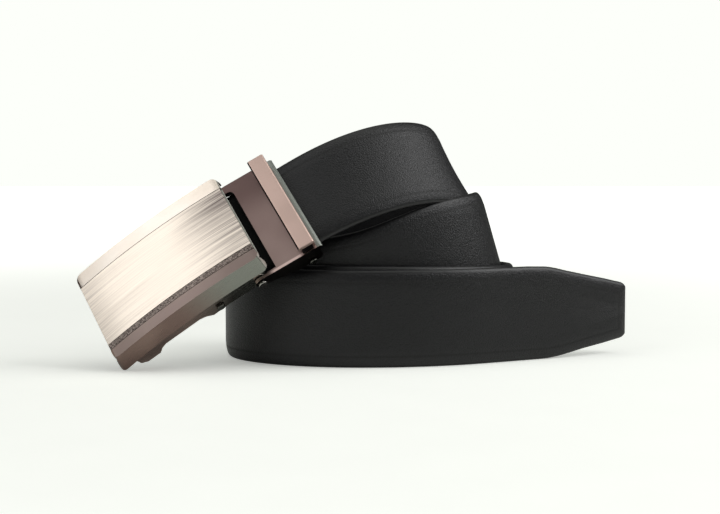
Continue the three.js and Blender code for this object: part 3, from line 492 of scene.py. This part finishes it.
def leather(name, dark, light, roughness, grain_mm, pebble_mm, shade_in_crease=False):
    """Dyed leather with a pressed grain, read from the strap's flat coordinates in mm."""
    material, tree, shader = new_material(name, {"Specular IOR Level": 0.5})
    flat_mm = add(tree, "ShaderNodeUVMap", {"uv_map": "flat_mm"}).outputs["UV"]
    wobble = add(tree, "ShaderNodeTexNoise", {"noise_dimensions": "2D"},
                 {"Vector": flat_mm, "Scale": 0.4 / pebble_mm, "Detail": 2.0})
    bent = add(tree, "ShaderNodeMixRGB", {"blend_type": "LINEAR_LIGHT"},
               {"Fac": 0.4, "Color1": flat_mm, "Color2": wobble.outputs["Color"]})
    pebbles = add(tree, "ShaderNodeTexVoronoi", {"voronoi_dimensions": "2D"},
                  {"Vector": bent.outputs["Color"], "Scale": 1 / pebble_mm}).outputs["Distance"]
    pores = add(tree, "ShaderNodeTexNoise", {"noise_dimensions": "2D"},
                {"Vector": flat_mm, "Scale": 1 / PORE_MM, "Detail": 3.0}).outputs["Fac"]
    patches = add(tree, "ShaderNodeTexNoise", {"noise_dimensions": "2D"},
                  {"Vector": flat_mm, "Scale": 1 / PATCH_MM, "Detail": 3.0}).outputs["Fac"]
    relief = add(tree, "ShaderNodeMath", {"operation": "MULTIPLY_ADD"}, [pebbles, -1.0, pores])
    bump = add(tree, "ShaderNodeBump", None, {
        "Height": relief.outputs["Value"], "Strength": 1.0, "Distance": grain_mm * MM})
    # Pebble tops are painted lighter than the valleys between them: painted shade in the grain
    lit_pebble_tops = add(tree, "ShaderNodeMapRange", SMOOTH, [pebbles, 0.2, 0.75, 0.75, 0.0]).outputs["Result"]
    lightness = add(tree, "ShaderNodeMath", {"operation": "MULTIPLY_ADD"},
                    [patches, 0.5, lit_pebble_tops]).outputs["Value"]
    tint = add(tree, "ShaderNodeMix", COLOURS,
               {"Factor": lightness, "A": dark, "B": light}).outputs["Result"]
    satin = add(tree, "ShaderNodeMapRange", SMOOTH,
                [pores, 0.3, 0.7, roughness - 0.06, roughness + 0.06]).outputs["Result"]
    # Painted shade: the crease line is mixed towards near black and made rougher
    if shade_in_crease:
        axis = add(tree, "ShaderNodeSeparateXYZ", None, {"Vector": flat_mm})
        from_middle = add(tree, "ShaderNodeMath", {"operation": "SUBTRACT"},
                          [axis.outputs["Y"], FRONT_MIDDLE_V]).outputs["Value"]
        from_side = add(tree, "ShaderNodeMath", {"operation": "SUBTRACT"},
                        [half, add(tree, "ShaderNodeMath", {"operation": "ABSOLUTE"},
                                   [from_middle]).outputs["Value"]]).outputs["Value"]
        from_edge = add(tree, "ShaderNodeMath", {"operation": "MINIMUM"},
                        [from_side, axis.outputs["X"]]).outputs["Value"]
        rise = add(tree, "ShaderNodeMapRange", SMOOTH,
                   [from_edge, CREASE_IN - CREASE_HALF, CREASE_IN]).outputs["Result"]
        fall = add(tree, "ShaderNodeMapRange", SMOOTH,
                   [from_edge, CREASE_IN, CREASE_IN + CREASE_HALF, 1.0, 0.0]).outputs["Result"]
        crease = add(tree, "ShaderNodeMath", {"operation": "MULTIPLY"}, [rise, fall]).outputs["Value"]
        tint = add(tree, "ShaderNodeMix", COLOURS,
                   {"Factor": add(tree, "ShaderNodeMath", {"operation": "MULTIPLY"},
                                  [crease, CREASE_SHADE]).outputs["Value"], "A": tint,
                    "B": "#020202"}).outputs["Result"]
        satin = add(tree, "ShaderNodeMath", {"operation": "MULTIPLY_ADD"},
                    [crease, CREASE_DULLER, satin]).outputs["Value"]
    tree.links.new(tint, shader.inputs["Base Color"])
    tree.links.new(satin, shader.inputs["Roughness"])
    tree.links.new(bump.outputs["Normal"], shader.inputs["Normal"])
    return material

# %% The strap's four finishes
black_cowhide = leather("black_pebbled_cowhide", "#060608", "#131316", 0.37, 0.085, PEBBLE_MM,
                        shade_in_crease=True)
edge_paint = leather("black_edge_paint", "#0b0b0d", "#121214", 0.38, 0.03, 2.4)
back_lining = leather("black_back_lining", "#101012", "#19191c", 0.6, 0.08, 0.9)
# Near-black, rough finish for the end inside the clip: painted shadow
shadow_in_clip = leather("painted_shadow_in_clip", "#030303", "#070707", 0.95, 0.05, 0.9)
for finish in (black_cowhide, edge_paint, back_lining, shadow_in_clip):
    strap.data.materials.append(finish)
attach(strap, "belt")
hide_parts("strap")
print("finishes on the strap:", [m.name for m in strap.data.materials])

# %% [markdown]
# ## Metal pieces from the frame's solids
# The buckle's plates are zinc alloy castings, ground and plated. Their shapes are right in the
# frame, but a casting has no razor edge: every edge is rounded by a tenth of a millimetre or
# two, and those roundings catch the light. So each solid is copied, its loose triangles are
# merged into clean faces, and a bevel rounds its hard edges.

# %% Copy a solid and round its edges
MERGE_MM, FLAT_WITHIN, BEVEL_FROM, METAL_SMOOTH = 0.005, *map(math.radians, (0.4, 24, 40))


def rounded_copy(node, name, body, finishes, edge_mm, region=None, edge_finish=-1, segments=2):
    """A clean copy of a CAD node with rounded edges. region gives each face its finish by place."""
    copy = bpy.data.objects.new(name, frame["nodes"][node].data.copy())
    scene.collection.objects.link(copy)
    select_only(copy)
    bpy.ops.object.mode_set(mode="EDIT")
    bpy.ops.mesh.select_all(action="SELECT")
    bpy.ops.mesh.remove_doubles(threshold=MERGE_MM * MM)
    bpy.ops.mesh.dissolve_limited(angle_limit=FLAT_WITHIN)
    bpy.ops.object.mode_set(mode="OBJECT")
    copy.data.materials.clear()
    for finish in finishes:
        copy.data.materials.append(finish)
    for face in copy.data.polygons:
        face.material_index = region(face) if region else 0
    bevel = copy.modifiers.new("rounded_edges", "BEVEL")
    bevel.width = edge_mm * MM
    bevel.segments = segments
    bevel.limit_method = "ANGLE"
    bevel.angle_limit = BEVEL_FROM
    bevel.material = edge_finish
    apply_modifiers(copy)
    bpy.ops.object.shade_smooth_by_angle(angle=METAL_SMOOTH)
    weighted = copy.modifiers.new("flat_faces_stay_flat", "WEIGHTED_NORMAL")
    weighted.weight = 80
    weighted.keep_sharp = True
    apply_modifiers(copy)
    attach(copy, body)
    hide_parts(node)
    print(name, "has", len(copy.data.polygons), "faces")

# %% [markdown]
# ## Metal finishes
# All of them are nickel-like plating on zinc alloy, and differ in tint and in how they were
# polished; some are lit and shaded copies of one plating, with painted light in their colour.
# Satin bevels and rounded edges look milky, because they scatter the light, so they are set less
# metallic. The tint of a plating varies a little at random, and polishing leaves very fine
# scratches, so every finish has both. Some also get tints painted in by place, as painted
# reflection and highlight. The patterns are read along the buckle's own axes, with the Mapping
# node turned by the same amount as the buckle.

# %% Places in the buckle's own axes, for materials
keeper_points = np.array([v.co for v in frame["nodes"]["keeper_bar"].data.vertices]) / MM
keeper_end = ((keeper_points - hinge_at) @ clip_along).max()
print("keeper ends", round(keeper_end, 2), "plate ends", CLIP_LENGTH, "mm from the hinge")
LIP_START = HINGE_ALONG + keeper_end * math.cos(CLIP_TILT) + 0.3
plate_points = np.array([v.co for v in frame["nodes"]["clip_plate"].data.vertices]) / MM
PLATE_LOW = ((plate_points - hinge_at) @ across).min()
print("the clip plate's lower edge is", round(-PLATE_LOW, 2), "mm below the strap's middle")
buckle_turn = Matrix([along, across, out]).transposed().to_euler()


def in_buckle_axes(tree):
    """Object coordinates turned to along, across and out of the buckle, in mm from its crown."""
    place = add(tree, "ShaderNodeTexCoord").outputs["Object"]
    turned = add(tree, "ShaderNodeMapping", {"vector_type": "TEXTURE"}, {"Vector": place})
    turned.inputs["Location"].default_value = Vector(crown * MM)
    turned.inputs["Rotation"].default_value = buckle_turn
    turned.inputs["Scale"].default_value = (MM, MM, MM)
    return turned.outputs["Vector"]


def stretched_noise(tree, place, size_mm, detail):
    """Noise whose grains have this size in mm along the three axes of the buckle."""
    scaled = add(tree, "ShaderNodeMapping", None, {"Vector": place})
    scaled.inputs["Scale"].default_value = tuple(1 / size for size in size_mm)
    return add(tree, "ShaderNodeTexNoise", None,
               {"Vector": scaled.outputs["Vector"], "Scale": 1.0, "Detail": detail}).outputs["Fac"]

# %% Plated metal
TINT_PATCH_MM, SCRATCH_MM = (26, 13, 13), (9, 0.5, 0.5)


def plated(name, light, dark, roughness, metallic=1.0, painted_light_drifts=()):
    """Plated and polished zinc alloy. Drifts paint reflections and highlights in by place: each is an
    axis, its start and end, and a tint.
    """
    material, tree, shader = new_material(name, {"Metallic": metallic})
    place = in_buckle_axes(tree)
    axis = add(tree, "ShaderNodeSeparateXYZ", None, {"Vector": place})
    patches = stretched_noise(tree, place, TINT_PATCH_MM, 1.0)
    patches = add(tree, "ShaderNodeMapRange", SMOOTH, [patches, 0.3, 0.7]).outputs["Result"]
    tint = add(tree, "ShaderNodeMix", COLOURS,
               {"Factor": patches, "A": dark, "B": light}).outputs["Result"]
    # Each drift paints a tint in by place: painted reflection and highlight
    for name_of_axis, start, end, other in painted_light_drifts:
        reached = add(tree, "ShaderNodeMapRange", SMOOTH, [axis.outputs[name_of_axis], start, end])
        tint = add(tree, "ShaderNodeMix", COLOURS,
                   {"Factor": reached.outputs["Result"], "A": tint, "B": other}).outputs["Result"]
    scratches = stretched_noise(tree, place, SCRATCH_MM, 2.0)
    bump = add(tree, "ShaderNodeBump", None,
               {"Height": scratches, "Strength": 0.012, "Distance": 0.02 * MM})
    tree.links.new(tint, shader.inputs["Base Color"])
    tree.links.new(add(tree, "ShaderNodeMapRange", SMOOTH,
                       [scratches, 0.3, 0.7, roughness * 0.94, roughness * 1.06]).outputs["Result"],
                   shader.inputs["Roughness"])
    tree.links.new(bump.outputs["Normal"], shader.inputs["Normal"])
    return material

# %% The buckle's platings and steels
# The drift to grey-green towards the clip end is painted reflection
wall_plating = plated("gunmetal_plating", "#a0897f", "#87726a", 0.26, painted_light_drifts=[("X", -6, 20, "#8f9189")])
# The bevel above the panel is painted bright: painted reflection of the light from above
lit_bevel_plating = plated("bevel_painted_reflection_lit", "#fff6ec", "#fbeee0", 0.34, 0.9)
# The bevel below the panel is painted a darker rose: painted shade
shaded_bevel_plating = plated("bevel_painted_reflection_shaded", "#b9a49d", "#ad9892", 0.34, 0.6)
# Bright finish for rounded edges and the face's end towards the clip: painted highlight
edge_highlight_plating = plated("painted_edge_highlight", "#e6e0d8", "#d8d1c8", 0.3, 0.4)
# Painted reflection: darker towards the plate's top and grey-green past the keeper; painted highlight:
# the light band along the lower edge
clip_plating = plated("rose_gunmetal_plating", "#9a8680", "#8b7772", 0.3, painted_light_drifts=[
    ("Y", 0, 15, "#6b5855"), ("Y", PLATE_LOW + 1.2, PLATE_LOW + 0.8, "#d9bfb7"),
    ("X", LIP_START, LIP_START + 0.2, "#969a93")])
# The bend at the clip plate's lower edge is painted bright: painted highlight
bend_highlight_plating = plated("rose_bend_painted_highlight", "#dcc3bb", "#cfb5ad", 0.3, 0.4)
keeper_plating = plated("rose_satin_plating", "#e3c6bb", "#dbbfb4", 0.45)
# Near-black copy of the plating for places in shade: painted shadow
shadow_plating = plated("painted_shadow_plating", "#2b2625", "#1d1a19", 0.35)
pin_steel = plated("polished_pin_steel", "#dedcd8", "#c4c1bb", 0.12)
dark_steel = plated("blackened_steel", "#6f6f6a", "#55544f", 0.25)

# %% [markdown]
# ## The brushed panel
# The panel is nickel silver brushed along its length: a belt of abrasive leaves fine parallel
# lines, 0.1 to 0.3 mm apart and a few centimetres long, and coarser streaks. The streaks are
# painted dark near the clip end, towards the upper corner and a little at the free end, as a
# painted reflection of darker surroundings. Noise that is stretched along the panel makes both
# lines and streaks, and it ignores the height over the bow, so the lines stay straight from end to end.

# %% Brushed champagne nickel
FLAT = 1000
LINE_MM, STREAK_MM = (40, 0.34, FLAT), (60, 1.1, FLAT)


def brushed_nickel():
    """Long fine lines everywhere, and streaks painted dark towards both ends as painted reflection."""
    material, tree, shader = new_material("brushed_champagne_nickel", {"Metallic": 1.0})
    place = in_buckle_axes(tree)
    axis = add(tree, "ShaderNodeSeparateXYZ", None, {"Vector": place})
    lines = stretched_noise(tree, place, LINE_MM, 4.0)
    streaks = stretched_noise(tree, place, STREAK_MM, 4.0)
    to_clip = add(tree, "ShaderNodeMapRange", SMOOTH, [axis.outputs["X"], 4, 33]).outputs["Result"]
    to_corner = add(tree, "ShaderNodeMapRange", SMOOTH,
                    [axis.outputs["Y"], -14, 10, 0.55, 1.0]).outputs["Result"]
    to_free = add(tree, "ShaderNodeMapRange", SMOOTH,
                  [axis.outputs["X"], -20, -33, 0.0, 0.3]).outputs["Result"]
    # Painted reflection: the streaks are darkened near the clip end, the upper corner and the free end
    painted_dark_reflection = add(tree, "ShaderNodeMath", {"operation": "MULTIPLY_ADD"},
                  [to_clip, to_corner, to_free]).outputs["Value"]
    dark_streaks = add(tree, "ShaderNodeMapRange", SMOOTH, [streaks, 0.3, 0.62, 0.3, 1.0])
    dark_lines = add(tree, "ShaderNodeMapRange", SMOOTH, [lines, 0.3, 0.6, 0.5, 1.0])
    streak_pattern = add(tree, "ShaderNodeMath", {"operation": "MULTIPLY"},
               [dark_streaks.outputs["Result"], dark_lines.outputs["Result"]]).outputs["Value"]
    fine = add(tree, "ShaderNodeMapRange", SMOOTH, [lines, 0.35, 0.65]).outputs["Result"]
    base = add(tree, "ShaderNodeMix", COLOURS,
               {"Factor": fine, "A": "#fdf1e2", "B": "#f3e7da"}).outputs["Result"]
    tint = add(tree, "ShaderNodeMix", COLOURS,
               {"Factor": add(tree, "ShaderNodeMath", {"operation": "MULTIPLY"},
                              [streak_pattern, painted_dark_reflection]).outputs["Value"], "A": base,
                "B": "#54484a"}).outputs["Result"]
    bump = add(tree, "ShaderNodeBump", None, {"Height": lines, "Strength": 0.25, "Distance": 0.02 * MM})
    tree.links.new(tint, shader.inputs["Base Color"])
    tree.links.new(add(tree, "ShaderNodeMapRange", SMOOTH,
                       [lines, 0.3, 0.7, 0.3, 0.42]).outputs["Result"], shader.inputs["Roughness"])
    tree.links.new(bump.outputs["Normal"], shader.inputs["Normal"])
    return material

# %% [markdown]
# ## The sparkling strip
# The narrow strip below the panel is diamond-cut: a hard point has pecked it all over. Voronoi
# cells of a third of a millimetre give the facets, and each is painted light or dark as a painted glint.

# %% Sparkling grained strip
GRIT_MM = 0.36


def grained_metal():
    """Diamond-cut grit: each grain is a tiny facet, painted light or dark as a painted glint."""
    material, tree, shader = new_material("diamond_cut_grit", {"Metallic": 1.0, "Roughness": 0.4})
    place = add(tree, "ShaderNodeTexCoord").outputs["Object"]
    grit = add(tree, "ShaderNodeTexVoronoi", None, {"Vector": place, "Scale": 1 / (GRIT_MM * MM)})
    spread = add(tree, "ShaderNodeSeparateColor", None, {"Color": grit.outputs["Color"]})
    bump = add(tree, "ShaderNodeBump", None,
               {"Height": grit.outputs["Distance"], "Strength": 0.7, "Distance": 0.1 * MM})
    # Each facet is painted light or dark: painted glints
    tree.links.new(add(tree, "ShaderNodeMix", COLOURS,
                       {"Factor": spread.outputs["Red"], "A": "#453b38",
                        "B": "#a99c94"}).outputs["Result"], shader.inputs["Base Color"])
    tree.links.new(bump.outputs["Normal"], shader.inputs["Normal"])
    return material

# %% [markdown]
# ## Dressing the buckle
# The face is one casting with dark walls. The bevel above the panel is painted bright, as a
# painted reflection of the light from above, and the one below it a darker rose, as painted shade.
# The faces are told apart by where they lie and which way they look, and each gets its own
# finish. The panel, the strip, the frame and the lever follow.

# %% Dress the buckle
PANEL_UPPER, WALL_TOP = 13.0, -3


def in_buckle(centre):
    """Along, across and out of a place in metres, counted from the crown of the face, in mm."""
    offset = np.array(centre) / MM - crown
    return offset @ along, offset @ across, offset @ out


def face_region(face):
    """Walls 0, upper bevel 1, lower bevel 2, the end towards the clip 3."""
    place = in_buckle(face.center)
    if np.array(face.normal) @ along > 0.6:
        return 3
    if np.array(face.normal) @ out < 0.9 or place[2] < WALL_TOP:
        return 0
    return 1 if place[1] > PANEL_UPPER else 2


rounded_copy("face_plate", "face_shell", "buckle",
             (wall_plating, lit_bevel_plating, shaded_bevel_plating, edge_highlight_plating), 0.3,
             face_region, edge_finish=3, segments=3)
rounded_copy("brushed_panel", "face_panel", "buckle", (brushed_nickel(),), 0.06)
rounded_copy("grained_strip", "face_strip", "buckle", (grained_metal(),), 0.06)
rounded_copy("inner_frame", "frame_inside", "buckle", (wall_plating, edge_highlight_plating), 0.12,
             edge_finish=1)
rounded_copy("pawl_lever", "release_lever", "pawl", (dark_steel,), 0.15)

# %% [markdown]
# ## Dressing the clip
# The clip's plate is rose gunmetal, and the bend at its lower edge is painted brighter, as a
# painted highlight. Its flanges, the walls of its slot and the keeper's legs lie in shadow and
# look nearly black, so they get a painted shadow: a near-black copy of the plating.

# %% Dress the clip
BAR_FROM, MOUTH_LENGTH = 6.6, 1.2


def keeper_region(face):
    """The bar itself 0, its legs and the side towards the buckle 1."""
    centre = (np.array(face.center) / MM - hinge_at) @ clip_out
    return 1 if centre < BAR_FROM or np.array(face.normal) @ clip_along < -0.7 else 0


def clip_region(face):
    """The plate 0, the flanges and the slot's walls 1, the bend at the lower edge 3."""
    place = np.array(face.center) / MM - hinge_at
    normal = np.array(face.normal)
    if 0.15 < normal @ clip_out < 0.97 and normal @ across < -0.2 and place @ clip_out > 0:
        return 3
    if place @ clip_along > CLIP_LENGTH - MOUTH_LENGTH:
        return 0
    return 0 if place @ clip_out > 1.0 and normal @ clip_out > 0.5 else 1


rounded_copy("clip_plate", "strap_clip", "belt",
             (clip_plating, shadow_plating, edge_highlight_plating, bend_highlight_plating), 0.3, clip_region,
             edge_finish=2, segments=3)
rounded_copy("keeper_bar", "keeper", "belt", (keeper_plating, shadow_plating), 0.3,
             keeper_region)
rounded_copy("clip_flap", "toothed_flap", "belt", (shadow_plating,), 0.1)
for pin_node, pin_body, steel in (("hinge_pin", "belt", pin_steel), ("flap_pin", "belt", dark_steel),
                                  ("pawl_pin", "buckle", dark_steel)):
    rounded_copy(pin_node, pin_node + "_domed", pin_body, (steel,), 0.3, segments=4)

# %% [markdown]
# ## The toothed track
# The track is a strip of black nylon, moulded with a saw tooth every 6 mm and let into the
# back of the tail. Moulded nylon has a faint sheen and a very fine pitted surface.

# %% Moulded black nylon
PIT_MM = 0.4
nylon, tree, shader = new_material("moulded_black_nylon", {"Roughness": 0.45})
place = add(tree, "ShaderNodeTexCoord").outputs["Object"]
pits = add(tree, "ShaderNodeTexNoise", None, {"Vector": place, "Scale": 1 / (PIT_MM * MM), "Detail": 3.0})
shade = add(tree, "ShaderNodeMix", COLOURS,
            {"Factor": pits.outputs["Fac"], "A": "#101113", "B": "#1b1c1f"}).outputs["Result"]
bump = add(tree, "ShaderNodeBump", None,
           {"Height": pits.outputs["Fac"], "Strength": 0.2, "Distance": 0.03 * MM})
tree.links.new(shade, shader.inputs["Base Color"])
tree.links.new(bump.outputs["Normal"], shader.inputs["Normal"])
rounded_copy("ratchet_track", "toothed_track", "belt", (nylon,), 0.06)

# %% [markdown]
# ## Floor and light
# The belt was photographed on a white sweep: the eye sees white all round and only faint
# shadows. The leather mirrors a dim room in front of it, and two lamps: a large soft box on
# the left, which lights the buckle's face, and a stronger one up on the right, which is the
# broad highlight on the bends. The paper's own glow is seen by the camera and hardly by the
# belt, or the black leather would turn grey.

# %% White floor
NEAR_GLOW, FAR_GLOW, GLOW_ON_BELT = 0.33, 0.9, 0.04
GLOW_NEAR_AT, GLOW_FAR_AT = 0.15, 1.0
FLOOR_SIZE, FLOOR_BELOW, FIBRES_PER_METRE = 12, 0.00005, 40.0
bpy.ops.object.select_all(action="DESELECT")
bpy.ops.mesh.primitive_plane_add(size=FLOOR_SIZE, location=(0, 0, -FLOOR_BELOW))
floor = bpy.context.object
floor.name = "studio_floor"
paper, tree, shader = new_material("white_paper_sweep", {
    "Roughness": 0.7, "Specular IOR Level": 0.2, "Emission Color": linear("#fdfffa")})
place = add(tree, "ShaderNodeTexCoord").outputs["Object"]
fibre = add(tree, "ShaderNodeTexNoise", None, {"Vector": place, "Scale": FIBRES_PER_METRE, "Detail": 2.0})
shade = add(tree, "ShaderNodeMix", COLOURS,
            {"Factor": fibre.outputs["Fac"], "A": "#f6f8f3", "B": "#fbfdf8"}).outputs["Result"]
tree.links.new(shade, shader.inputs["Base Color"])
seen = add(tree, "ShaderNodeLightPath").outputs["Is Camera Ray"]
distance = add(tree, "ShaderNodeVectorMath", {"operation": "LENGTH"}, {0: place}).outputs["Value"]
glow = add(tree, "ShaderNodeMapRange", SMOOTH,
           [distance, GLOW_NEAR_AT, GLOW_FAR_AT, NEAR_GLOW, FAR_GLOW]).outputs["Result"]
glow = add(tree, "ShaderNodeMath", {"operation": "MULTIPLY"}, [glow, seen]).outputs["Value"]
tree.links.new(add(tree, "ShaderNodeMath", {"operation": "MAXIMUM"},
                   [glow, GLOW_ON_BELT]).outputs["Value"], shader.inputs["Emission Strength"])
floor.data.materials.append(paper)
print("floor", FLOOR_SIZE, "m wide")

# %% Studio surroundings
# The camera sees a white background. Everything else sees the dim room round the lamps
ROOM_GLOW, OVERHEAD_GLOW, OVERHEAD_FROM = 0.11, 1.0, 0.75
world = bpy.data.worlds.new("studio")
scene.world = world
world.use_nodes = True
tree = world.node_tree
background = tree.nodes["Background"]
seen = add(tree, "ShaderNodeLightPath").outputs["Is Camera Ray"]
direction = add(tree, "ShaderNodeTexCoord").outputs["Generated"]
parts = add(tree, "ShaderNodeSeparateXYZ", None, {"Vector": direction})
overhead = add(tree, "ShaderNodeMapRange", SMOOTH,
               [parts.outputs["Z"], OVERHEAD_FROM, 1.0, ROOM_GLOW, OVERHEAD_GLOW]).outputs["Result"]
background.inputs["Color"].default_value = linear("#fdfffa")
tree.links.new(add(tree, "ShaderNodeMath", {"operation": "MAXIMUM"}, [overhead, seen]).outputs["Value"],
               background.inputs["Strength"])

# %% Two soft boxes
AIM_HEIGHT = 0.045


def soft_box(name, direction, distance, size, radiance):
    """A square lamp that shines at the belt. radiance is how bright its face looks."""
    lamp = bpy.data.lights.new(name, "AREA")
    lamp.size = size
    lamp.energy = 4 * radiance * size**2
    holder = bpy.data.objects.new(name, lamp)
    scene.collection.objects.link(holder)
    to_lamp = Vector(direction).normalized()
    holder.location = to_lamp * distance + Vector((0, 0, AIM_HEIGHT))
    holder.rotation_euler = to_lamp.to_track_quat("Z", "Y").to_euler()
    print(name, "gives", round(lamp.energy, 2), "W")


soft_box("soft_box_left", (-0.74, -0.42, 0.525), 1.1, 0.85, 1.0)
soft_box("soft_box_right", (0.76, -0.1, 0.64), 0.9, 0.56, 3.0)
scene.view_settings.view_transform = "Standard"
